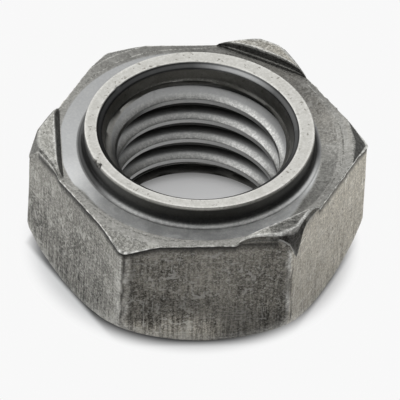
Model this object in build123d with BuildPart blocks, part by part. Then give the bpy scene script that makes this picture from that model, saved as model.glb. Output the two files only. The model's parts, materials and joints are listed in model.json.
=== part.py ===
from build123d import *

import os
from math import acos, cos, radians, sin, tan

# Hex weld nut, M12 x 1.75, forged in one piece.
# A hexagon with a turned pilot collar that drops into the hole of a sheet, and three raised
# weld projections on alternate corners. The nut rests on its plain base, with the thread
# along +Z and its origin at the middle of the base. All lengths are in millimetres.

# The hexagon
ACROSS_FLATS = 19.0
HEX_HEIGHT = 8.55
CORNER_ROUND = 0.8
BASE_LAND_INSET = 0.2  # how far inside the flats the base bevel starts
BASE_BEVEL_ANGLE = 40.0
TOP_BEVEL_OUTSET = 0.38  # how far outside the flats the corner bevels start
TOP_BEVEL_ANGLE = 34.0

# The bore, as tapped, and what opens it at each end
BORE_RADIUS = 5.22
COUNTERSINK_WIDTH = 1.18
COUNTERSINK_ANGLE = 45.0
LEAD_IN_ANGLE = 50.0
RECESS_STEP = 0.70  # from the bore out to the foot of the recess wall
RECESS_DEPTH = 1.06
RECESS_FLARE = 0.08  # how far the recess wall leans out over its height
MOUTH_BEVEL = 0.45

# The pilot collar and the dished ring around it
COLLAR_WALL = 0.95  # width of the flat ring on top
COLLAR_HEIGHT = 1.31
COLLAR_EDGE_ROUND = 0.08
COLLAR_FOOT_ROUND = 0.45
DISH_WIDTH = 1.15
DISH_DEPTH = 0.15

# The weld projections
PROJECTION_COUNT = 3
PROJECTION_HEIGHT = 0.70
STEP_CLEARANCE = 0.02  # from the rim of the dish to the foot of the step
STEP_LEAN = 0.32  # how far the step leans out over its height
NOSE_SETBACK = 0.64  # from the sharp corner back to the nose, on top
NOSE_ANGLE = 20.0  # the nose's slope, measured from upright
CROWN_START = 0.07  # from the nose's end to where the top begins to fall
CROWN_DROP = 0.16  # how much lower the top is at its two ends
RIM_ROUND = 0.15

# Places that follow from those sizes
flat_radius = ACROSS_FLATS / 2
corner_radius = flat_radius / cos(radians(30))
land_radius = flat_radius - BASE_LAND_INSET
bevel_radius = flat_radius + TOP_BEVEL_OUTSET
clear_radius = corner_radius + 1.0  # outside everything that the lathe profile trims
base_bevel_rise = (clear_radius - land_radius) * tan(radians(BASE_BEVEL_ANGLE))
top_bevel_drop = (clear_radius - bevel_radius) * tan(radians(TOP_BEVEL_ANGLE))

countersink_radius = BORE_RADIUS + COUNTERSINK_WIDTH
countersink_depth = COUNTERSINK_WIDTH / tan(radians(COUNTERSINK_ANGLE))
recess_radius = BORE_RADIUS + RECESS_STEP
bevel_foot_radius = recess_radius + RECESS_FLARE
mouth_radius = bevel_foot_radius + MOUTH_BEVEL
collar_radius = mouth_radius + COLLAR_WALL
foot_radius = collar_radius + COLLAR_FOOT_ROUND
dish_radius = foot_radius + DISH_WIDTH

collar_top = HEX_HEIGHT + COLLAR_HEIGHT
dish_floor = HEX_HEIGHT - DISH_DEPTH
recess_floor = collar_top - RECESS_DEPTH
lead_in_foot = recess_floor - RECESS_STEP * tan(radians(LEAD_IN_ANGLE))

projection_top = HEX_HEIGHT + PROJECTION_HEIGHT
projection_root = HEX_HEIGHT - top_bevel_drop  # buried in the hexagon
step_foot = dish_radius + STEP_CLEARANCE
nose_radius = corner_radius - NOSE_SETBACK
nose_spread = (projection_top - projection_root) * tan(radians(NOSE_ANGLE))
nose_half = nose_radius * sin(radians(30) - acos(flat_radius / nose_radius))
level_half = nose_half + CROWN_START
crown_half = (corner_radius - step_foot - STEP_LEAN) * tan(radians(60))  # where step meets side
crown_sag = CROWN_DROP * ((clear_radius - level_half) / (crown_half - level_half)) ** 2

# The hexagon's outline, with one corner on +X
with BuildSketch() as hexagon:
    RegularPolygon(radius=flat_radius, side_count=6, major_radius=False)
    fillet(hexagon.vertices(), CORNER_ROUND)

# The body: the hexagon trimmed by everything that is turned about the axis
with BuildPart() as weld_nut:
    with BuildSketch():
        add(hexagon.sketch)
    extrude(amount=collar_top)

    with BuildSketch(Plane.XZ) as lathe_profile:
        with BuildLine():
            # bore, countersink, base, the two hexagon bevels and the flat top
            Polyline(
                (BORE_RADIUS, lead_in_foot),
                (BORE_RADIUS, countersink_depth),
                (countersink_radius, 0),
                (land_radius, 0),
                (clear_radius, base_bevel_rise),
                (clear_radius, HEX_HEIGHT - top_bevel_drop),
                (bevel_radius, HEX_HEIGHT),
                (dish_radius, HEX_HEIGHT),
            )
            # dished ring, level at the foot of the collar
            TangentArc((foot_radius, dish_floor), (dish_radius, HEX_HEIGHT), tangent=(1, 0))
            # rounded foot, wall and top edge of the collar
            TangentArc(
                (foot_radius, dish_floor),
                (collar_radius, dish_floor + COLLAR_FOOT_ROUND),
                tangent=(-1, 0),
            )
            Line(
                (collar_radius, dish_floor + COLLAR_FOOT_ROUND),
                (collar_radius, collar_top - COLLAR_EDGE_ROUND),
            )
            TangentArc(
                (collar_radius, collar_top - COLLAR_EDGE_ROUND),
                (collar_radius - COLLAR_EDGE_ROUND, collar_top),
                tangent=(0, 1),
            )
            # flat top, mouth bevel, recess wall and lead-in to the thread
            Polyline(
                (collar_radius - COLLAR_EDGE_ROUND, collar_top),
                (mouth_radius, collar_top),
                (bevel_foot_radius, collar_top - MOUTH_BEVEL),
                (recess_radius, recess_floor),
                (BORE_RADIUS, lead_in_foot),
            )
        make_face()
    revolve(axis=Axis.Z, mode=Mode.INTERSECT)

# One projection, modelled at the +X corner: the hexagon's corner standing above the top face,
# with a leaning step towards the collar, a steep turned nose outside, and a top that is level
# behind the nose and falls away towards its two ends
with BuildPart() as projection:
    with BuildSketch(Plane.XY.offset(projection_root)):
        add(hexagon.sketch)
    extrude(amount=projection_top - projection_root)

    with BuildSketch(Plane.XZ) as inside_of_step:
        with BuildLine():
            Polyline(
                (step_foot, projection_root),
                (step_foot, HEX_HEIGHT),
                (step_foot + STEP_LEAN, projection_top),
                (-clear_radius, projection_top),
                (-clear_radius, projection_root),
                close=True,
            )
        make_face()
    extrude(amount=clear_radius, both=True, mode=Mode.SUBTRACT)

    with BuildSketch(Plane.XZ) as outside_of_nose:
        with BuildLine():
            Polyline(
                (nose_radius, projection_top),
                (nose_radius + nose_spread, projection_root),
                (nose_radius + nose_spread + clear_radius, projection_root),
                (nose_radius + nose_spread + clear_radius, projection_top),
                close=True,
            )
        make_face()
    revolve(axis=Axis.Z, mode=Mode.SUBTRACT)

    with BuildSketch(Plane.YZ) as below_crown:
        with BuildLine():
            flat_top = Line((-level_half, projection_top), (level_half, projection_top))
            left_fall = TangentArc(
                flat_top @ 0, (-clear_radius, projection_top - crown_sag), tangent=(-1, 0)
            )
            right_fall = TangentArc(
                flat_top @ 1, (clear_radius, projection_top - crown_sag), tangent=(1, 0)
            )
            Polyline(
                right_fall @ 1,
                (clear_radius, -clear_radius),
                (-clear_radius, -clear_radius),
                left_fall @ 1,
            )
        make_face()
    extrude(amount=clear_radius, mode=Mode.INTERSECT)

    top_edges = projection.edges().filter_by_position(
        Axis.Z, projection_top - CROWN_DROP, projection_top
    )
    rim = top_edges.filter_by(Axis.X, reverse=True).sort_by(Axis.X)[3:]
    fillet(rim, RIM_ROUND)

# The whole nut: the plain corners are at 0, 120 and 240 degrees, the projections between them
with weld_nut:
    with PolarLocations(0, PROJECTION_COUNT, start_angle=60):
        add(projection.part)

weld_nut.part.label = "weld_nut"

os.makedirs("parts", exist_ok=True)
export_step(weld_nut.part, "parts/weld_nut.step")
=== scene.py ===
"""Hex weld nut: its finished surface, with the thread and the marks of forging and handling.

Lengths are in millimetres until the mesh is made, and angles are measured about the thread's axis
from the corner on +X. Corners are numbered from 0 there, and side n lies between corners n and
n + 1: side 4 faces the camera, 3 is to its left and 5 to its right.
"""

import json
import math

import bpy
import numpy as np
from mathutils import Matrix, Vector


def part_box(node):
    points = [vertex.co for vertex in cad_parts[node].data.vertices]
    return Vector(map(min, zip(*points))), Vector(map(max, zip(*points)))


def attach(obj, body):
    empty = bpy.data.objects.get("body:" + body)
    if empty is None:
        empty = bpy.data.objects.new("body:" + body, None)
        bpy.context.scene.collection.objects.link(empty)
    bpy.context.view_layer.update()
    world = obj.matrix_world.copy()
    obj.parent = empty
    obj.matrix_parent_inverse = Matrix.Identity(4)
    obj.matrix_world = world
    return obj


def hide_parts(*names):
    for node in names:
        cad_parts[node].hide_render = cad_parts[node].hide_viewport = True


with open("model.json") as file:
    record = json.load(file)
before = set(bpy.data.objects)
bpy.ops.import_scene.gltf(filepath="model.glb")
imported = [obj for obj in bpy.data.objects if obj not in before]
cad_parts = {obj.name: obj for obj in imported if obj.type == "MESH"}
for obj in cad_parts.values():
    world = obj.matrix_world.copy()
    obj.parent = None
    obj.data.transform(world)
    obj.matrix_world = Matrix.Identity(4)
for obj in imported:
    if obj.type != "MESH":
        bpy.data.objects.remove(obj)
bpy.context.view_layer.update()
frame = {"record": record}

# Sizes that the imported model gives
MM = 0.001
_, node_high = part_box("weld_nut")
mounts = {m["name"]: m for m in frame["record"]["mounts"]}
FLAT = node_high.y / MM
COLLAR_TOP = node_high.z / MM
BORE = mounts["thread"]["dims"]["r_mm"]
COLLAR = mounts["pilot_collar"]["dims"]["r_mm"]
PROJECTION_TOP = mounts["weld_face"]["pos_m"][2] / MM

# The hexagon
HEX_TOP = 8.55
BASE_LAND = 9.3
BASE_BEVEL = math.tan(math.radians(40))
COUNTERSINK = 6.40
EDGE_BREAK = 0.06

# The collar, the recess inside it and the dished ring outside it
MOUTH = 6.54
BEVEL_FOOT = 6.18
BEVEL_FOOT_Z = 9.58
RECESS_FOOT = 5.92
RECESS_FLOOR = 8.80
LEAD_IN = 1 / math.tan(math.radians(50))
MOUTH_SHIFT = (-0.10, -0.10)  # the mouth was bored a little off the collar's middle
COLLAR_EDGE = 0.08
COLLAR_FOOT = 0.45
DISH_EDGE = 9.00
DISH_FLOOR = 8.40
DISH_START = COLLAR + COLLAR_FOOT

# The corners, in order: the plain ones are 0, 2 and 4, and 1, 3 and 5 are raised. The forging left
# no two alike. A size that a corner doesn't have is a number without effect.
CORNER_ROUND = np.array([0.35, 0.60, 0.60, 0.35, 0.80, 0.80])
BEVEL_START = np.array([9.93, 99, 9.90, 99, 9.87, 99])  # radius where its bevel starts
BEVEL_SLOPE = np.array([0.42, 0, 0.60, 0, 0.675, 0])  # its fall per millimetre outwards
STEP_FOOT = np.array([99, 9.04, 99, 8.88, 99, 9.02])  # how far from the axis the step rises
STEP_TOP = np.array([99.3, 9.24, 99.3, 9.25, 99.3, 9.28])
RIM = np.array([0, 0.24, 0, 0.26, 0, 0.27])  # how wide the raised top's edge is rounded
# Where the raised top comes down to the hexagon before and after the corner, and how abruptly
END_BEFORE = np.array([1, 3.42, 1, 3.60, 1, 3.18])
END_AFTER = np.array([1, 3.42, 1, 3.13, 1, 3.32])
FALL_BEFORE = np.array([1, 3.2, 1, 8.0, 1, 6.0])
FALL_AFTER = np.array([1, 3.2, 1, 8.0, 1, 7.0])
NOSE = 10.33  # radius where the raised top ends at its nose
NOSE_LEAN = math.tan(math.radians(20))
# The ledge at the foot of the step on corner 1, and how much further out that step stands
LEDGE_WIDTH = 0.26
LEDGE_SHIFT = 0.1

# The thread, right-handed. The points of its trapezoid, from one crest to the next: how far each is
# below the crest's middle, how deep, how bright a painted highlight its edge has, how much painted
# shade lies on it, and if it is on the crest, which is painted lighter
PITCH = 1.75
CREST_START = 8.8025
THREAD_DROP = np.array([-0.19, -0.14, 0.14, 0.19, 0.43, 0.66, 0.875, 1.09, 1.32])
THREAD_DEPTH = np.array([0.035, 0, 0, 0.035, 0.43, 0.80, 0.83, 0.80, 0.43])
THREAD_HIGHLIGHT = np.array([0.7, 0, 0, 0.25, 0, 0, 0, 0, 0])
THREAD_SHADE = np.array([0, 0, 0, 0, 0, 0.8, 0.8, 0.8, 0])
THREAD_CREST = np.array([0, 1, 1, 0, 0, 0, 0, 0, 0])
THREAD_TOP = 8.28
THREAD_BOTTOM = 1.22
JOIN_SOFT = 0.12  # how softly the thread meets the lead-in
CROWDED = 0.003  # between rows that crowd at an end of the thread

COLUMNS_PER_SIDE = 92
SHARP_ANGLE = math.radians(32)  # the faces beside a sharper edge than this aren't blended
SURFACE_VALUES = ("edge", "grime", "turned", "tone", "warm")  # what the mesh tells its material


# ---------------------------------------------------------------- ways to shape


def grain(points, cell, seed):
    """Smooth random values between -1 and 1.

    Random numbers stand on a cubic lattice of that cell, and each point takes the trilinear mix of
    the eight around it, eased by 3t^2 - 2t^3.
    """
    lattice = np.random.default_rng(seed).uniform(-1, 1, (32, 32, 32))
    place = np.asarray(points) / cell
    low = np.floor(place).astype(int)
    t = place - low
    t = t * t * (3 - 2 * t)
    total = np.zeros(place.shape[:-1])
    for ends in np.ndindex(2, 2, 2):
        share = np.prod(np.where(ends, t, 1 - t), axis=-1)
        at = (low + ends) % 32
        total += share * lattice[at[..., 0], at[..., 1], at[..., 2]]
    return total


def bump(x, middle, width):
    """A smooth hump of height 1 at the middle: exp(-((x - middle) / width)^2)."""
    return np.exp(-(((x - middle) / width) ** 2))


def step(x, low, high):
    """A smooth step from 0 at low to 1 at high: 3t^2 - 2t^3 of the share of the way."""
    t = np.clip((x - low) / (high - low), 0, 1)
    return t * t * (3 - 2 * t)


def band(x, low, high, soft):
    """1 from low to high and 0 outside: a step up times a step down, each as wide as soft."""
    return step(x, low - soft / 2, low + soft / 2) * (1 - step(x, high - soft / 2, high + soft / 2))


def column_angles():
    """Angles of the columns, in degrees from the +X corner, in rising order.

    In each sixth of the turn the columns crowd round the corner and near the projections' ends:
    their density is 1 + 2.4 exp(-(a/2.4)^2) + 0.8 exp(-((|a| - 19)/2.4)^2), a from the corner.
    """
    a = np.linspace(-30, 30, 4001)
    density = 1 + 2.4 * bump(a, 0, 2.4) + 0.8 * bump(np.abs(a), 19, 2.4)
    share = np.concatenate([[0], np.cumsum((density[1:] + density[:-1]) / 2)])
    sixth = np.interp(np.arange(COLUMNS_PER_SIDE) / COLUMNS_PER_SIDE, share / share[-1], a)
    return np.sort((sixth[None, :] + 60 * np.arange(6)[:, None]).ravel() % 360)


def hexagon_radius(a, rounding):
    """Radius of the hexagon at angle a (radians) from its corner.

    It is flat / cos(30 - |a|) on the sides, and on the corner's arc it solves the circle of
    that rounding about a point on the corner's diagonal.
    """
    centre = (FLAT - rounding) / math.cos(math.radians(30))
    arc_half = np.arctan2(rounding / 2, centre + rounding * math.cos(math.radians(30)))
    arc = centre * np.cos(a) + np.sqrt(np.maximum(rounding**2 - (centre * np.sin(a)) ** 2, 0))
    return np.where(np.abs(a) < arc_half, arc, FLAT / np.cos(math.radians(30) - np.abs(a)))


def bore_radius(z):
    """Radius of the bore's wall at height z in each column: the largest of three surfaces.

    They are the thread's trapezoid, whose crest climbs one pitch a turn, the lead-in cone under
    the recess, and the countersink's cone at the base. The first two meet softly: half their sum
    plus half the root of the square of what they differ by and the square of JOIN_SOFT.
    """
    drop = (CREST_START + PITCH * degrees / 360 - z) % PITCH
    knots = np.concatenate([THREAD_DROP[2:], THREAD_DROP[:2] + PITCH])
    depths = np.concatenate([THREAD_DEPTH[2:], THREAD_DEPTH[:2]])
    thread = BORE + np.interp(drop, knots, depths, period=PITCH)
    lead_in = RECESS_FOOT - (RECESS_FLOOR - z) * LEAD_IN
    eased = (thread + lead_in + np.sqrt((thread - lead_in) ** 2 + JOIN_SOFT**2)) / 2
    return np.maximum(eased, COUNTERSINK - z)


class Profile:
    """Rows of the nut's cross-section, each an array over the columns, with their surface values.

    A row holds a radius, a height and six values: how much rubbed wear and painted highlight its
    edge carries, how much grime and painted shade lie in its inner corners, creases and roots,
    turned (cut on the lathe, not forged), how light the metal is painted, its tone with painted
    light and shade, warm (how brown) and burr (how much of the ragged lip the row carries).
    """

    PLAIN = {"edge": 0.0, "grime": 0.0, "turned": 0.0, "tone": 1.0, "warm": 0.3, "burr": 0.0}

    def __init__(self, columns):
        self.columns = columns
        self.rows = {name: [] for name in ("radius", "height", *self.PLAIN)}

    def row(self, radius, height, **values):
        """Adds one row."""
        for name, value in {**self.PLAIN, **values, "radius": radius, "height": height}.items():
            self.rows[name].append(np.broadcast_to(value, self.columns).astype(float))

    def run(self, keys):
        """Adds a broken line of key points: (radius, height, cut, values, between, on the leg).

        Each corner is cut back along both its legs by cut and rounded over, and the rows between
        divide the leg that follows. A cut of 0 puts one row at the point itself.
        """
        most = 0.35  # of a leg's length that one corner cuts back
        count = len(keys)
        spots = [np.array(np.broadcast_arrays(k[0] * np.ones(self.columns), k[1])) for k in keys]
        for i, (_, _, cut, values, between, leg) in enumerate(keys):
            here = spots[i]
            back = spots[max(i - 1, 0)] - here
            ahead = spots[min(i + 1, count - 1)] - here
            back_length = np.maximum(np.hypot(*back), 1e-9)
            ahead_length = np.maximum(np.hypot(*ahead), 1e-9)
            leave = here
            if np.max(cut) > 0:
                start = here + back / back_length * np.minimum(cut, most * back_length)
                leave = here + ahead / ahead_length * np.minimum(cut, most * ahead_length)
                self.row(*start, **values)
                self.row(*(0.5 * here + 0.25 * (start + leave)), **values)
                self.row(*leave, **values)
            else:
                self.row(*here, **values)
            if between:
                reach = np.minimum(keys[i + 1][2], most * ahead_length)
                arrive = here + ahead - ahead / ahead_length * reach
                for t in np.arange(1, between + 1) / (between + 1):
                    self.row(*(leave + (arrive - leave) * t), **leg)

    def table(self):
        """The rows as arrays of (row, column)."""
        return {name: np.array(rows) for name, rows in self.rows.items()}


# ---------------------------------------------------------------- the outline, column by column

degrees = column_angles()
corner = np.round(degrees / 60).astype(int) % 6
face = np.floor(degrees / 60).astype(int) % 6
from_corner = np.radians((degrees + 30) % 60 - 30)
raised = corner % 2 == 1
side = hexagon_radius(from_corner, CORNER_ROUND[corner])
across = side * np.sin(from_corner)
along_side = across / math.cos(math.radians(30))

# How high the projection's top stands at each column: its ends fall away as a power of the
# distance from the corner, and near them the leaning step meets the side
end = np.where(across < 0, END_BEFORE[corner], END_AFTER[corner])
fall = np.where(across < 0, FALL_BEFORE[corner], FALL_AFTER[corner])
dome = 1 - np.minimum(np.abs(across) / end, 1) ** fall
foot, top = STEP_FOOT[corner], STEP_TOP[corner]
reach = np.clip(((side - 0.05) * np.cos(from_corner) - foot) / (top - foot), 0, 1)
rise = np.minimum(reach, dome) * raised
platform = HEX_TOP + rise * (PROJECTION_TOP - HEX_TOP)
rim = EDGE_BREAK + (RIM[corner] - EDGE_BREAK) * rise

# The height where the side ends, under a corner's bevel or a projection's nose. The last nose was
# struck off its corner, so its lower edge hangs to one side
hung = np.interp(
    along_side,
    (-1.4, -0.7, -0.2, 0, 0.5, 1.04, 1.25, 2.0),
    (9.25, 8.86, 8.40, 7.9, 7.05, 7.83, 8.53, 9.1),
)
nose_z = np.where(corner == 5, hung, PROJECTION_TOP - (side - NOSE) / NOSE_LEAN)
bevel_z = HEX_TOP - np.maximum(side - BEVEL_START[corner], 0) * BEVEL_SLOPE[corner]
side_top = np.where(
    raised, np.minimum(platform - rim, nose_z), np.minimum(bevel_z, HEX_TOP - rim)
)

# The facet's upper edge, and the step's top and foot. Beyond the projections' ends there is no
# step, and its rows lie spread over the flat top
facet_in = np.minimum(side - rim, np.where(raised, NOSE, BEVEL_START[corner]))
dish_edge = np.minimum(DISH_EDGE, foot / np.cos(from_corner) - 0.03)
flat_width = facet_in - dish_edge
beyond = np.maximum(foot / np.cos(from_corner) - (side - 0.05), 0)
spread = np.where(raised, np.minimum(0.3 * beyond, 0.33 * flat_width), 0.33 * flat_width)
step_line = (foot + rise * (top - foot)) / np.cos(from_corner) + LEDGE_SHIFT * (corner == 1)
step_top = np.minimum(step_line, facet_in - 0.02 - spread)
step_foot = np.minimum(foot / np.cos(from_corner), step_top - 0.01 - spread)
step_foot = np.maximum(step_foot, dish_edge + 0.01)

# At the foot of the back projection's step there is a ledge, a low rise and a tread
step_share = np.clip((step_top - step_foot) / 0.6, 0, 1)
on_ledge = (corner == 1) * step_share
tread = 0.01 * step_share + LEDGE_WIDTH * on_ledge
ledge = step_foot + 0.25 * (step_top - step_foot - tread)
ledge_z = HEX_TOP + 0.25 * (platform - HEX_TOP)

# Which of the outline's forms each column passes through, from 0 to 1
on_rise = step(rise, 0.02, 0.3)
on_flat = 1 - on_rise
on_nose = on_rise * (nose_z < platform - rim)
in_front = step(degrees, 205, 240) * (1 - step(degrees, 300, 330))

# How light each side, facet, rim, raised top and the ring round the collar is painted, as painted
# light and shade for how the light falls on each, and how brown each is
side_light = np.array([1.0, 1.0, 1.0, 1.12, 0.78, 1.7])[face]
side_warm = np.array([0.4, 0.4, 0.3, 0.35, 0.8, 0.9])[face]
facet_light = np.array([0.25, 0.8, 0.7, 0.6, 1.35, 0.2])[corner]
rim_light = np.array([1.0, 0.9, 1.0, 0.75, 1.0, 0.42])[corner]
top_light = np.array([1.0, 1.2, 1.0, 1.35, 1.0, 0.6])[corner]
top_light = top_light + 0.9 * (corner == 5) * step(-along_side, 0.5, 2.2)
ring_light = np.interp(
    degrees, (0, 35, 90, 140, 200, 280, 330, 360), (0.85, 0.46, 0.35, 0.61, 0.72, 0.79, 0.53, 0.85)
)
ring_warm = 0.3 + 0.6 * bump(degrees, 35, 40)


# ---------------------------------------------------------------- the rows, part by part


def thread_points():
    """Drops of the thread's rows at angle 0, and the point of the trapezoid that each row follows.

    They are the trapezoid's points repeated every pitch, as far as they come inside the thread.
    """
    drops = np.concatenate([THREAD_DROP + PITCH * n for n in range(8)])
    points = np.arange(len(drops)) % len(THREAD_DROP)
    first = CREST_START - THREAD_TOP
    last = CREST_START + PITCH - THREAD_BOTTOM
    inside = (drops > first) & (drops < last + 0.05)
    return drops[inside], points[inside]


def threaded_bore(profile):
    """The thread and the countersink, downwards.

    The thread's rows follow its helix: z = the crest's start + pitch times the share of the turn -
    the row's drop. Those that would pass an end of the thread crowd just inside it.
    """
    drops, points = thread_points()
    # How light the thread is painted: painted shade, deepest round 30 degrees
    light = 0.56 - 0.22 * bump(degrees, 30, 42) - 0.22 * bump(degrees, 390, 42)
    for i, (drop, point) in enumerate(zip(drops, points)):
        z = CREST_START + PITCH * degrees / 360 - drop
        z = np.minimum(z, THREAD_TOP - CROWDED * (i + 1))
        z = np.maximum(z, THREAD_BOTTOM + CROWDED * (len(drops) - i))
        formed = step(THREAD_TOP - z, 0.03, 0.35)
        # Its edges carry a painted highlight, its roots painted shade, and its crests are painted
        # lighter
        profile.row(
            bore_radius(z),
            z,
            edge=THREAD_HIGHLIGHT[point] * formed,
            grime=THREAD_SHADE[point] * (1 - step(z, 7.7, 8.1)),
            turned=1.0,
            tone=light * (1 + 0.9 * THREAD_CREST[point] * formed),
            warm=0.1,
        )
    # Below the thread the bore is painted nearly black, as painted shade above the floor
    for z in np.linspace(THREAD_BOTTOM, 0.40, 8):
        profile.row(bore_radius(z), z, turned=1.0, tone=0.12)


def hexagon_outside(profile):
    """Base, base bevel, side, facet, top face and step, upwards and inwards.

    Under the top edge runs a crease, darkened by painted shade, and the edge is ragged, with rubbed
    wear and a painted highlight in places. The facet is the corner's bevel or the projection's
    nose.
    """
    along_rim = np.stack([degrees, 0 * degrees, 0 * degrees], -1)
    waver = 0.03 * grain(along_rim, 2.0, 8)
    patchy_rim = 0.75 + 0.45 * np.clip(2.2 * grain(along_rim, 1.2, 9), -1, 1)
    crease_z = np.where(rise > 0.02, np.minimum(8.60, side_top - 0.13), side_top - 0.12 + waver)
    # How dark the crease is painted: painted shade under the lip
    crease_shade = np.where((corner == 5) & (face == 5), 0.25, 0.85) * on_rise
    crease_shade += np.array([0.4, 0.3, 0.4, 1.0, 1.0, 0.8])[face] * on_flat
    ragged = np.array([0.6, 0.15, 0.4, 1.1, 0.8, 1.1])[face] * on_flat
    # Painted highlights on the raised tops' rims, on the sides' top edges under them and on the
    # noses
    rim_bright = np.array([0.5, 0.4, 0.5, 0.2, 0.5, 0.6])[corner] * on_rise
    side_bright = np.array([0.5, 0.5, 0.5, 0.5, 0.5, 0.0])[corner] * on_rise
    nose_bright = np.where(along_side < 0.2, np.array([0, 0.3, 0, 0.0, 0, 0.5])[corner], 0.0)
    narrow = (facet_in > side - 0.12) * on_flat
    on_top = rise > 0.1
    # How light the upper surface is painted, as painted light: the raised top's or the ring's
    upper_light = np.where(on_top, top_light, ring_light)
    brushed = 0.55 * on_flat

    on_side = {"tone": side_light, "warm": side_warm}
    # Painted shade makes the step darker than the ring, and painted light makes the ledge's tread
    # lighter
    on_step = {"tone": ring_light * (1 - 0.4 * on_rise), "turned": brushed}
    on_tread = {**on_step, "tone": on_step["tone"] + on_ledge}
    on_ring = {"turned": 0.55, "warm": ring_warm, "tone": ring_light}
    base_bevel_top = (side, (side - BASE_LAND) * BASE_BEVEL, 0.10 + 0.45 * bump(across, 0, 0.9))
    profile.run(
        [
            # The countersink and the base land are painted dark: painted shade where the nut meets
            # the floor
            (COUNTERSINK, 0.0, 0.04, {"turned": 1.0, "tone": 0.4}, 4, {"turned": 0.6}),
            (BASE_LAND, 0.0, 0.06, {"grime": 0.6}, 3, {"tone": 0.5, "grime": 0.3}),
            (*base_bevel_top, {**on_side, "edge": 0.2}, 14, on_side),
            (
                side - 0.045,
                crease_z,
                0.05,
                {**on_side, "grime": 1.1 * crease_shade * (1 - on_nose)},
                1,
                {**on_side, "grime": 0.35 * on_rise * (1 - on_nose)},
            ),
            (
                side,
                side_top,
                0.035,
                {
                    "edge": on_flat * patchy_rim + side_bright * (1 - on_nose) + nose_bright * on_nose,
                    "tone": np.where((corner == 5) & on_top, 0.42, side_light),
                    "burr": ragged,
                },
                4,
                {
                    "tone": np.where(on_top & (on_nose <= 0.1), rim_light, facet_light),
                    "edge": narrow * patchy_rim,
                    "warm": np.where(corner == 5, 0.9, 0.3),
                },
            ),
            (
                facet_in,
                platform,
                0.04 + 0.06 * on_rise,
                {
                    "edge": 0.12 * on_flat + rim_bright * (0.5 + 0.5 * patchy_rim),
                    "tone": top_light,
                    "burr": 0.5 * ragged,
                },
                5,
                {"tone": upper_light, "warm": ring_warm, "turned": brushed},
            ),
            (
                step_top,
                platform,
                0.04,
                {"edge": 0.5 * on_rise, "tone": upper_light, "turned": brushed},
                2,
                on_step,
            ),
            # On the ledge, painted shade in its inner corner and a painted highlight on its edge.
            # Painted shade lies at the step's foot below
            (ledge + tread, ledge_z, 0.0, {**on_step, "grime": 0.4 * on_ledge}, 1, on_tread),
            (ledge, ledge_z, 0.0, {**on_tread, "edge": 0.3 * on_ledge}, 1, on_step),
            (step_foot, HEX_TOP, 0.03, {"grime": on_rise}, 3, on_ring),
            (dish_edge, HEX_TOP, 0.05, {**on_ring, "turned": 0.6}, 0, {}),
        ]
    )


def dished_ring(profile):
    """The dish, inwards: z is an arc that is level at the collar's foot.

    The tool left it smooth out to a limit that wanders with the angle.
    """
    smooth_to = np.interp(
        degrees,
        (0, 30, 90, 140, 200, 210, 240, 300, 320, 360),
        (7.7, 7.7, 8.8, 9.2, 9.2, 8.7, 9.1, 9.1, 8.2, 7.7),
    )
    # How light the smooth dish is painted round the turn: painted light, lightest in front
    dish_light = np.interp(
        degrees,
        (0, 60, 110, 150, 185, 210, 235, 265, 300, 325, 360),
        (1.15, 0.8, 0.65, 0.66, 0.85, 1.5, 1.75, 1.85, 1.9, 1.2, 1.15),
    )
    width = DISH_EDGE - DISH_START
    depth = HEX_TOP - DISH_FLOOR
    bend = (width**2 + depth**2) / (2 * depth)
    for t in np.linspace(0.93, 0.05, 9):
        radius = DISH_START + t * (dish_edge - DISH_START)
        smooth = step(smooth_to - radius, -0.15, 0.15)
        profile.row(
            radius,
            DISH_FLOOR + bend - math.sqrt(bend**2 - (t * width) ** 2),
            turned=0.35 + (0.65 - 0.2 * in_front) * smooth,
            tone=ring_light + (dish_light - ring_light) * smooth,
            warm=ring_warm * (1 - smooth),
        )


def collar_outside(profile):
    """The collar's rounded foot, a quarter circle, its wall, top edge and flat top, upwards.

    The wall is dark, and painted shade makes it darker in front and on the left. On the right and
    on the left painted shade reaches down over the foot. A knock has left a nick in the top edge.
    """
    # Painted shade on the wall, deepest in front and on the left, over the foot at the sides, and
    # in a line where the foot meets the dish
    wall_tone = 0.16 - 0.08 * bump(degrees, 268, 50) - 0.06 * bump(degrees, 190, 35)
    shaded_foot = band(degrees, 110, 220, 30) + 1 - step(degrees, 60, 90) + step(degrees, 335, 355)
    for angle in np.linspace(2, 90, 8):
        turn = math.radians(angle)
        darkness = (1 - shaded_foot) * step(angle, 30, 62) + shaded_foot * step(angle, -8, 14)
        profile.row(
            DISH_START - COLLAR_FOOT * math.sin(turn),
            DISH_FLOOR + COLLAR_FOOT * (1 - math.cos(turn)),
            turned=1.0 - 0.4 * in_front,
            grime=0.45 * float(angle < 4),
            tone=0.85 - (0.85 - wall_tone) * darkness,
            warm=0.1,
        )
    for z in np.linspace(DISH_FLOOR + COLLAR_FOOT, COLLAR_TOP - COLLAR_EDGE, 6)[1:-1]:
        profile.row(COLLAR, z, turned=1.0, tone=wall_tone)
    nick = bump(degrees, 206, 1.5) + 0.6 * bump(degrees, 202.5, 0.9)
    for angle in np.radians(np.linspace(0, 90, 4)):
        profile.row(
            COLLAR - COLLAR_EDGE * (1 - math.cos(angle)) - 0.15 * nick,
            COLLAR_TOP - COLLAR_EDGE * (1 - math.sin(angle)) - 0.09 * nick,
            edge=0.12 * (1 - nick),
            grime=nick,
            turned=1.0,
            warm=0.6,
        )
    for radius in np.linspace(COLLAR - COLLAR_EDGE - 0.02, MOUTH, 7)[1:-1]:
        profile.row(radius, COLLAR_TOP, turned=1.0, tone=0.92, warm=0.7)


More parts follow.
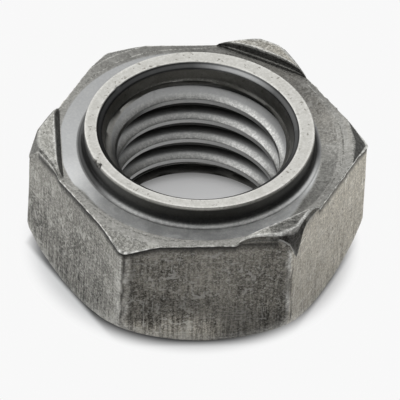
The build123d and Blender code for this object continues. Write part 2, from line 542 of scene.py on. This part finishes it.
def recessed_mouth(profile):
    """The mouth's bevel with a chip in its edge, the recess wall and the lead-in, downwards."""
    chip = bump(degrees, 140, 1.8)
    # How light the bevel and the recess wall are painted round the turn: painted light and shade.
    # The bevel is painted lighter towards its foot
    bevel_light = np.interp(
        degrees, (0, 15, 35, 56, 72, 90, 200, 360), (0.10, 0.12, 0.12, 0.5, 0.6, 0.18, 0.10, 0.08)
    )
    recess_light = np.interp(
        degrees, (0, 60, 110, 140, 180, 360), (0.55, 0.5, 0.46, 1.2, 1.5, 0.55)
    )
    at_lip = {"turned": 1.0, "edge": 0.15, "warm": 0.6, "grime": 0.5 * chip}
    upper_bevel, bevel, lower_bevel = (
        {"turned": 1.0, "tone": share * bevel_light, "warm": 0.0} for share in (0.5, 1.0, 1.3)
    )
    on_recess = {"turned": 1.0, "tone": recess_light, "warm": 0.4}
    # A painted highlight along the recess's foot, strongest at the back
    recess_edge = {"turned": 1.0, "edge": 0.2 + 0.5 * step(degrees, 50, 110), "tone": 0.4}
    shaded_r = MOUTH - 0.3 * (MOUTH - BEVEL_FOOT)
    shaded_z = COLLAR_TOP - 0.3 * (COLLAR_TOP - BEVEL_FOOT_Z)
    profile.run(
        [
            (MOUTH + 0.10 * chip, COLLAR_TOP - 0.03 * chip, 0.03, at_lip, 2, upper_bevel),
            (shaded_r, shaded_z, 0.0, upper_bevel, 3, lower_bevel),
            (BEVEL_FOOT, BEVEL_FOOT_Z, 0.02, bevel, 5, on_recess),
            (RECESS_FOOT, RECESS_FLOOR, 0.03, recess_edge, 0, {}),
        ]
    )
    for z in np.linspace(RECESS_FLOOR - 0.07, THREAD_TOP, 5):
        profile.row(bore_radius(z), z, turned=1.0, tone=0.55)


def front_side_marks(table):
    """The rows with patches, strips and cracks on the three sides in front.

    On the front side each patch is a smooth band of height times one of distance along the side,
    and multiplies how light the side is painted. The two others grow lighter with height. Down the
    two front corners run pale strips, rubbed wear with a painted highlight, and dark cracks, humps
    of the distance from the corner, which wander with height.
    """
    z = table["height"]
    x = side * np.cos(np.radians(degrees)) + 0 * z
    on_sides = (table["radius"] > side - 0.05) & (z < side_top - 0.2)
    front, left, right = (on_sides & (face == n) for n in (4, 3, 5))
    wander = grain(np.stack([1.3 * z, corner + 0 * z, 0 * z], -1), 1.0, 7)
    drift = grain(np.stack([x, 0 * x, 0 * x], -1), 1.1, 12)
    tone = 1 + front * 0.75 * band(x, -5.2, 0.8, 1.2) * band(z, -1.0, 2.1 + 0.5 * drift, 1.0)
    tone *= 1 - front * 0.2 * band(x, -4.2, 1.5, 1.0) * band(z, 2.5 + 0.3 * drift, 3.9, 0.8)
    tone *= 1 - front * 0.38 * band(x, 1.2, 5.1, 1.0) * band(z, 0.2, 3.1 + 0.4 * drift, 0.8)
    tone *= 1 + left * 0.06 * (z - 3.5)
    tone *= 1 + right * (0.05 * (z - 3.5) + 0.07 * (x - 7.0))

    jagged = grain(np.stack([3.0 * z, corner + 0 * z, 0 * z], -1), 1.0, 10)
    broken = 0.6 + 0.5 * grain(np.stack([0.9 * z, corner + 0 * z, 5 + 0 * z], -1), 1.0, 11)
    off_corner = across + 0.10 * wander + 0.05 * jagged
    # Pale strips of rubbed wear and painted highlight, and dark cracks, down the corners
    strip = (corner == 4) * (bump(off_corner, -0.12, 0.24) + 0.8 * bump(off_corner, 0.38, 0.13))
    strip = strip + (corner == 5) * bump(off_corner, -0.12, 0.15)
    crack = (corner == 4) * (bump(off_corner, 0.14, 0.08) + 0.6 * bump(off_corner, 0.66, 0.12))
    crack = crack + (corner == 5) * (
        bump(off_corner, 0.12, 0.06) + 0.35 * bump(off_corner, -0.48, 0.2)
    )
    return {
        **table,
        "tone": table["tone"] * tone,
        "edge": np.maximum(table["edge"], on_sides * 0.6 * strip * broken),
        "grime": np.maximum(table["grime"], on_sides * crack * (1.2 - broken)),
    }


# ---------------------------------------------------------------- the mesh


def grid_faces(rows, columns):
    """Faces of the closed grid: four-sided between neighbouring rows and columns.

    At the seam the thread's rows meet those one pitch further down. Two fans of triangles close
    what that leaves open, at the thread's top and bottom.
    """
    thread_rows = len(thread_points()[0])
    pitch_rows = len(THREAD_DROP)
    i, j = np.meshgrid(np.arange(rows), np.arange(columns), indexing="ij")
    below, beside = (i + 1) % rows, (j + 1) % columns
    quads = np.stack(
        [i * columns + j, i * columns + beside, below * columns + beside, below * columns + j], -1
    )
    seam = j == columns - 1
    in_thread = (i < thread_rows) | (i == rows - 1)
    quads = quads[~(seam & in_thread)]
    last = columns - 1
    k = np.arange(thread_rows - pitch_rows - 1)
    left, right = (k + pitch_rows) * columns + last, k * columns
    turns = np.stack([left, right, right + columns, left + columns], -1)

    top = (rows - 1) * columns
    fan = np.arange(pitch_rows)
    heads = np.concatenate([[top + last], fan * columns + last])
    tails = np.concatenate([fan * columns + last, [pitch_rows * columns + last]])
    top_fan = np.stack([heads, np.full(pitch_rows + 1, top), tails], -1)
    top_fan = np.concatenate([top_fan, [[pitch_rows * columns + last, top, 0]]])
    bottom = thread_rows * columns + last
    k = np.arange(thread_rows - pitch_rows - 1, thread_rows) * columns
    bottom_fan = np.stack([np.full(pitch_rows + 1, bottom), k, k + columns], -1)
    start = [[bottom, (thread_rows - 1) * columns + last, k[0]]]
    bottom_fan = np.concatenate([start, bottom_fan])
    return np.concatenate([quads, turns]), np.concatenate([top_fan, bottom_fan])


def shaped_points(table):
    """The grid's points, from the rows' radii and heights, with the unevenness of a real nut.

    The ragged lip is smooth noise along the edge, cubed so that few burrs stand out. Forged skin
    waves in and out along its normal, which is the cross product of the grid's two directions.
    The mouth and what is under it shift sideways with height, so that the thread keeps its axis.
    """
    angle = np.radians(degrees)
    around = np.stack([np.cos(angle), np.sin(angle), 0 * angle], -1)
    ragged = grain(around * FLAT, 0.45, 3) + 0.6 * grain(around * FLAT, 0.2, 4)
    ragged = np.clip(ragged, -1, 1)
    ragged = 0.035 * ragged + 0.075 * ragged**3
    radius = table["radius"] + table["burr"] * ragged
    height = table["height"] + table["burr"] * 0.6 * np.maximum(ragged, 0)
    points = radius[..., None] * around
    points[..., 2] = height
    inner = (radius < COLLAR - 0.3) * np.clip((height - 7.9) / 1.1, 0, 1)
    points[..., :2] += inner[..., None] * MOUTH_SHIFT
    down = np.roll(points, -1, 0) - np.roll(points, 1, 0)
    along = np.roll(points, -1, 1) - np.roll(points, 1, 1)
    normal = np.cross(along, down)
    normal /= np.maximum(np.linalg.norm(normal, axis=-1, keepdims=True), 1e-9)
    skin = (1 - table["turned"]) * (1 - table["edge"] * 0.5)
    wave = 0.012 * grain(points, 1.4, 5) + 0.008 * grain(points, 0.55, 6)
    points = points + normal * ((wave - 0.012) * skin)[..., None]
    points[..., 2] = np.maximum(points[..., 2], 0)
    return points


def build_mesh(name, points, quads, triangles, values):
    """A mesh object from a grid of points, its faces and a table of point values."""
    mesh = bpy.data.meshes.new(name)
    corners = np.concatenate([quads.ravel(), triangles.ravel()])
    starts = np.concatenate(
        [4 * np.arange(len(quads)), 4 * len(quads) + 3 * np.arange(len(triangles))]
    )
    mesh.vertices.add(points.size // 3)
    mesh.vertices.foreach_set("co", (points * MM).ravel())
    mesh.loops.add(len(corners))
    mesh.loops.foreach_set("vertex_index", corners)
    mesh.polygons.add(len(starts))
    mesh.polygons.foreach_set("loop_start", starts)
    mesh.update(calc_edges=True)
    mesh.validate()
    mesh.polygons.foreach_set("use_smooth", np.ones(len(starts), bool))
    mesh.set_sharp_from_angle(angle=SHARP_ANGLE)
    for key, value in values.items():
        attribute = mesh.attributes.new(key, "FLOAT", "POINT")
        attribute.data.foreach_set("value", value.ravel().astype(np.float32))
    made = bpy.data.objects.new(name, mesh)
    bpy.context.scene.collection.objects.link(made)
    return made


def weld_nut():
    """The nut's surface: the rows of its section, carried round through every column."""
    profile = Profile(len(degrees))
    threaded_bore(profile)
    hexagon_outside(profile)
    dished_ring(profile)
    collar_outside(profile)
    recessed_mouth(profile)
    table = front_side_marks(profile.table())
    quads, triangles = grid_faces(*table["radius"].shape)
    values = {name: table[name] for name in SURFACE_VALUES}
    return build_mesh("nut_surface", shaped_points(table), quads, triangles, values)


nut = weld_nut()
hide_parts("weld_nut")
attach(nut, "root")


# ---------------------------------------------------------------- the steel


class Shade:
    """An output socket of a material's nodes. Arithmetic on values adds Math nodes."""

    def __init__(self, tree, socket=None):
        self.tree = tree
        self.socket = socket

    def node(self, kind, settings=None, inputs=None, output=0):
        """Adds a node. Its settings are set first, then the values or links of its sockets."""
        made = self.tree.nodes.new(kind)
        for name, value in (settings or {}).items():
            setattr(made, name, value)
        for name, value in (inputs or {}).items():
            if isinstance(value, Shade):
                self.tree.links.new(value.socket, made.inputs[name])
            else:
                made.inputs[name].default_value = value
        return Shade(self.tree, made.outputs[output] if made.outputs else None)

    def maths(self, operation, first, second=0.0, clamp=False):
        """A Math node on two values."""
        settings = {"operation": operation, "use_clamp": clamp}
        return self.node("ShaderNodeMath", settings, {0: first, 1: second})

    def __add__(self, other):
        return self.maths("ADD", self, other)

    __radd__ = __add__

    def __sub__(self, other):
        return self.maths("SUBTRACT", self, other)

    def __rsub__(self, other):
        return self.maths("SUBTRACT", other, self)

    def __mul__(self, other):
        return self.maths("MULTIPLY", self, other)

    __rmul__ = __mul__

    def clipped(self):
        """The value held between 0 and 1."""
        return self.maths("ADD", self, 0.0, clamp=True)

    def ramp(self, low, high):
        """A smooth step from 0 at low to 1 at high."""
        settings = {"interpolation_type": "SMOOTHSTEP"}
        inputs = {"Value": self, "From Min": low, "From Max": high}
        return self.node("ShaderNodeMapRange", settings, inputs)

    def vector(self, operation, second=(0.0, 0.0, 0.0), output="Vector"):
        """A Vector Math node on this vector and a second one."""
        settings = {"operation": operation}
        return self.node("ShaderNodeVectorMath", settings, {0: self, 1: second}, output)

    def mix(self, first, second):
        """A blend of two colours, by this value."""
        settings = {"data_type": "RGBA", "clamp_factor": True}
        return self.node("ShaderNodeMix", settings, {0: self, 6: first, 7: second}, output=2)

    def darkened(self, share):
        """This colour times a value."""
        settings = {"data_type": "RGBA", "blend_type": "MULTIPLY"}
        return self.node("ShaderNodeMix", settings, {0: 1.0, 6: self, 7: share}, output=2)

    def stretched(self, scale, turn=(0.0, 0.0, 0.0)):
        """This place, turned and scaled, for a pattern that runs along one direction."""
        settings = {"vector_type": "POINT"}
        return self.node(
            "ShaderNodeMapping", settings, {"Vector": self, "Rotation": turn, "Scale": scale}
        )

    def noise(self, scale, detail=2.0, roughness=0.5, swirl=0.0):
        """Noise at this place, from about 0.2 to 0.8, its pattern drawn about by swirl."""
        inputs = {
            "Vector": self,
            "Scale": scale,
            "Detail": detail,
            "Roughness": roughness,
            "Distortion": swirl,
        }
        return self.node("ShaderNodeTexNoise", {"noise_dimensions": "3D"}, inputs)


def fresh_nodes(owner):
    """The emptied nodes of a material or a world, as a Shade that adds to them."""
    owner.use_nodes = True
    owner.node_tree.nodes.clear()
    return Shade(owner.node_tree)


def forged_skin(place, tone, warm, crisp, mottle):
    """Colour and relief of the forged skin, from the place in millimetres.

    Clouds, mottling and upright streaks mix a dark and a light grey, both a little brown where the
    skin is warm. Over them lie dark pits, and pale scratches, veins and specks. Where it is painted
    lightest the skin is plainer, without veins and specks.
    """
    fine = place.noise(11.0, 1.0, 0.5).ramp(0.45, 0.62)
    specks = place.noise(5.0, 1.0, 0.5).ramp(0.60, 0.67)
    clouds = place.noise(0.35, 2.0, 0.5).ramp(0.36, 0.64)
    upright = place.stretched((5.0, 5.0, 0.45)).noise(1.0, 2.0, 0.6).ramp(0.36, 0.64)
    scratches = place.stretched((0.35, 0.35, 9.0), (0.05, 0.08, 0.0)).noise(1.0, 2.0, 0.5, 0.4)
    scratches = scratches.ramp(0.63, 0.70) * clouds
    slanting = place.stretched((8.0, 0.7, 0.7), (0.6, 0.5, 0.9)).noise(1.0, 2.0, 0.5, 0.3)
    slanting = slanting.ramp(0.63, 0.70) * (1 - clouds)
    pits = place.noise(3.1, 3.0, 0.6).ramp(0.62, 0.70)
    vein = place.maths("ABSOLUTE", place.noise(0.7, 3.0, 0.5, 0.6) - 0.5)
    vein = vein.ramp(0.05, 0.01) * place.noise(0.9).ramp(0.50, 0.62)
    height = place.node("ShaderNodeSeparateXYZ", {}, {"Vector": place}, output="Z")
    lines = place.stretched((7.0, 7.0, 0.35)).noise(1.0, 1.0, 0.5).ramp(0.44, 0.56)
    lines = (lines - 0.5) * (height.ramp(3.2, 1.4) * 0.6 + height.ramp(8.6, 7.0) * 0.4)

    plain = tone.ramp(1.1, 1.6) * 0.75
    uneven = mottle * 0.20 + upright * 0.10 + clouds * 0.22
    light = uneven * (1 - plain) + plain * 0.32 + crisp * 0.32 + fine * 0.20 + lines * 0.3
    light = ((light - 0.5) * (1.2 - plain * 0.55) + 0.55).clipped()
    cold = light.mix((0.020, 0.021, 0.018, 1), (0.40, 0.40, 0.375, 1))
    brown = light.mix((0.028, 0.022, 0.014, 1), (0.42, 0.392, 0.334, 1))
    colour = warm.mix(cold, brown)
    colour = (pits * 0.7).mix(colour, (0.05, 0.046, 0.038, 1))
    marks = (scratches + slanting + (vein + specks * 0.8) * (1 - plain)).clipped()
    colour = (marks * 0.62).mix(colour, (0.50, 0.49, 0.455, 1))
    relief = crisp * 0.5 + mottle * 0.4 - pits * 0.8 - (scratches + slanting) * 0.3
    return colour, relief


def turned_metal(place, warm, crisp, mottle):
    """Colour of the turned metal: a bright grey, straw where it is warm, with dark pores there."""
    grey = (crisp * 0.6 + mottle * 0.4).mix((0.405, 0.407, 0.405, 1), (0.455, 0.455, 0.445, 1))
    straw = (crisp * 0.5 + mottle * 0.5).mix((0.39, 0.38, 0.35, 1), (0.49, 0.48, 0.45, 1))
    pores = place.noise(3.6, 1.5, 0.5).ramp(0.64, 0.70) * warm
    return (pores * 0.9).mix(warm.ramp(0.05, 0.3).mix(grey, straw), (0.12, 0.11, 0.09, 1))


def steel_material():
    """Bare steel: forged skin outside, turned metal on the collar, dish and bore.

    The mesh's values say which of the two it is, how light it is painted, with painted light and
    shade, how warm, where its edges carry rubbed wear and a painted highlight, and where grime and
    painted shade darken its inner corners, creases and roots.
    """
    material = bpy.data.materials.new("forged_and_turned_steel")
    shade = fresh_nodes(material)
    place = shade.node("ShaderNodeTexCoord", output="Object")
    place = shade.node("ShaderNodeVectorMath", {"operation": "SCALE"}, {0: place, "Scale": 1 / MM})
    edge, grime, turned, tone, warm = (
        shade.node("ShaderNodeAttribute", {"attribute_name": name}, output="Fac")
        for name in SURFACE_VALUES
    )
    crisp = place.noise(6.0, 2.0, 0.75).ramp(0.45, 0.62)
    mottle = place.noise(1.3, 3.0, 0.62, 1.3).ramp(0.38, 0.62)

    forged, relief = forged_skin(place, tone, warm, crisp, mottle)
    colour = turned.mix(forged, turned_metal(place, warm, crisp, mottle)).darkened(tone)
    # Rubbed wear and a painted highlight on edges, in pale grey
    colour = (edge * (crisp * 0.5 + 0.6)).mix(colour, (0.86, 0.85, 0.81, 1))
    # Grime and painted shade in corners, creases and roots, in near black
    colour = (grime * 0.9).mix(colour, (0.014, 0.013, 0.011, 1))
    rough = 0.60 - turned * 0.28 + (mottle - 0.5) * (0.16 - turned * 0.12)
    normal = shade.node(
        "ShaderNodeBump",
        {},
        {"Strength": 0.65, "Distance": 0.03 * MM, "Height": relief * (1 - turned * 0.985)},
    )
    surface = shade.node(
        "ShaderNodeBsdfPrincipled",
        {},
        {
            "Base Color": colour,
            "Metallic": 0.55 + turned * 0.45,
            "Roughness": rough.clipped(),
            "Normal": normal,
        },
    )
    shade.node("ShaderNodeOutputMaterial", {}, {"Surface": surface})
    return material


nut.data.materials.append(steel_material())


# ---------------------------------------------------------------- the studio


def studio_floor():
    """A large pale floor, a flat square under the nut.

    It scatters the light that falls on it, and what the lens or a polished face sees of it is
    part paper white, so that only the shadow close to the nut shows. Along the foot of the nut's
    sides runs a narrow painted shadow, a dim grey in the matt part of the floor.
    """
    half = 3.0
    mesh = bpy.data.meshes.new("studio_floor")
    mesh.from_pydata(
        [(-half, -half, 0), (half, -half, 0), (half, half, 0), (-half, half, 0)], [], [(0, 1, 2, 3)]
    )
    floor = bpy.data.objects.new("studio_floor", mesh)
    bpy.context.scene.collection.objects.link(floor)
    material = bpy.data.materials.new("pale_floor")
    shade = fresh_nodes(material)
    place = shade.node("ShaderNodeTexCoord", output="Object")
    away = place.vector("LENGTH", output="Value")

    # How white it is seen: fully beyond an oval round the nut, and partly through the bore, where
    # it is painted light on the bore's shaded floor
    moved = place.vector("ADD", (0.3 * MM, 0.0, 0.0))
    beyond = moved.vector("MULTIPLY", (0.96, 1.0, 1.0)).vector("LENGTH", output="Value")
    white_part = beyond.ramp(9.1 * MM, 10.8 * MM) + away.ramp(7.1 * MM, 5.6 * MM) * 0.32
    seen, mirrored, through = (
        shade.node("ShaderNodeLightPath", output=f"Is {kind} Ray")
        for kind in ("Camera", "Glossy", "Transmission")
    )
    share = (seen + mirrored + through).clipped() * white_part

    # How far out from the hexagon's middle each place lies, across the sides that face 30, 90 and
    # 150 degrees and their opposites. The painted shadow is narrower along the first and the last
    out = 0.0
    for turn, narrower in ((30, 0.2 * MM), (90, 0.0), (150, 0.2 * MM)):
        outward = (math.cos(math.radians(turn)), math.sin(math.radians(turn)), 0.0)
        off_axis = place.vector("DOT_PRODUCT", outward, "Value")
        out = shade.maths("MAXIMUM", out, shade.maths("ABSOLUTE", off_axis) + narrower)
    # Outside the painted shadow: past the narrow band along the foot of the sides, and within the
    # bore
    unshadowed = ((out - FLAT * MM).ramp(0.0, 0.45 * MM) + away.ramp(9.0 * MM, 8.0 * MM)).clipped()
    # The painted shadow is a dim grey, the rest a pale one
    painted_shadow, pale = (
        shade.node("ShaderNodeBsdfDiffuse", {}, {"Color": (grey, grey, grey, 1)})
        for grey in (0.30, 0.93)
    )
    matt = shade.node("ShaderNodeMixShader", {}, {0: unshadowed, 1: painted_shadow, 2: pale})
    paper = {"Color": (0.94, 0.94, 0.94, 1), "Strength": 1.0}
    white = shade.node("ShaderNodeEmission", {}, paper)
    both = shade.node("ShaderNodeMixShader", {}, {0: share, 1: matt, 2: white})
    shade.node("ShaderNodeOutputMaterial", {}, {"Surface": both})
    mesh.materials.append(material)


def studio_air():
    """The air round the nut: dim, with wide soft glows where the studio's light stands.

    Each glow is its strength times a smooth step of the angle from its middle, between the angles
    where it is full and where it ends.
    """
    world = bpy.data.worlds.new("studio_air")
    shade = fresh_nodes(world)
    ahead = shade.node("ShaderNodeTexCoord", output="Generated")
    brightness = 0.10
    for middle, full, ends, strength in (
        ((-0.10, 0.45, 0.89), 40, 68, 1.45),
        ((-0.80, -0.10, 0.50), 18, 48, 0.5),
        ((-0.65, 0.72, 0.05), 12, 40, 0.8),
    ):
        along = ahead.vector("DOT_PRODUCT", tuple(Vector(middle).normalized()), "Value")
        glow = along.ramp(math.cos(math.radians(ends)), math.cos(math.radians(full)))
        brightness = brightness + glow * strength
    seen = shade.node("ShaderNodeLightPath", output="Is Camera Ray")
    glows = {"Color": (0.978, 0.988, 1.0, 1), "Strength": brightness}
    paper = {"Color": (0.94, 0.94, 0.94, 1), "Strength": 1.0}
    lit = shade.node("ShaderNodeBackground", {}, glows)
    white = shade.node("ShaderNodeBackground", {}, paper)
    both = shade.node("ShaderNodeMixShader", {}, {0: seen, 1: lit, 2: white})
    shade.node("ShaderNodeOutputWorld", {}, {"Surface": both})
    bpy.context.scene.world = world


def place_camera():
    """The camera looks down on the nut from the front, a touch to the left of it."""
    place = Vector((-27.945, -308.792, 295.266)) * MM
    aim = Vector((0.103, -1.500, 5.000)) * MM
    lean = math.radians(2.776)
    data = bpy.data.cameras.new("camera")
    data.sensor_width = 36.0
    data.lens = 592.2
    data.clip_start = 0.01
    data.clip_end = 20.0
    camera = bpy.data.objects.new("camera", data)
    level = (aim - place).to_track_quat("-Z", "Y").to_matrix().to_4x4()
    camera.matrix_world = Matrix.Translation(place) @ level @ Matrix.Rotation(lean, 4, "Z")
    bpy.context.scene.collection.objects.link(camera)
    bpy.context.scene.camera = camera


studio_floor()
studio_air()
place_camera()
bpy.context.scene.view_settings.view_transform = "Standard"
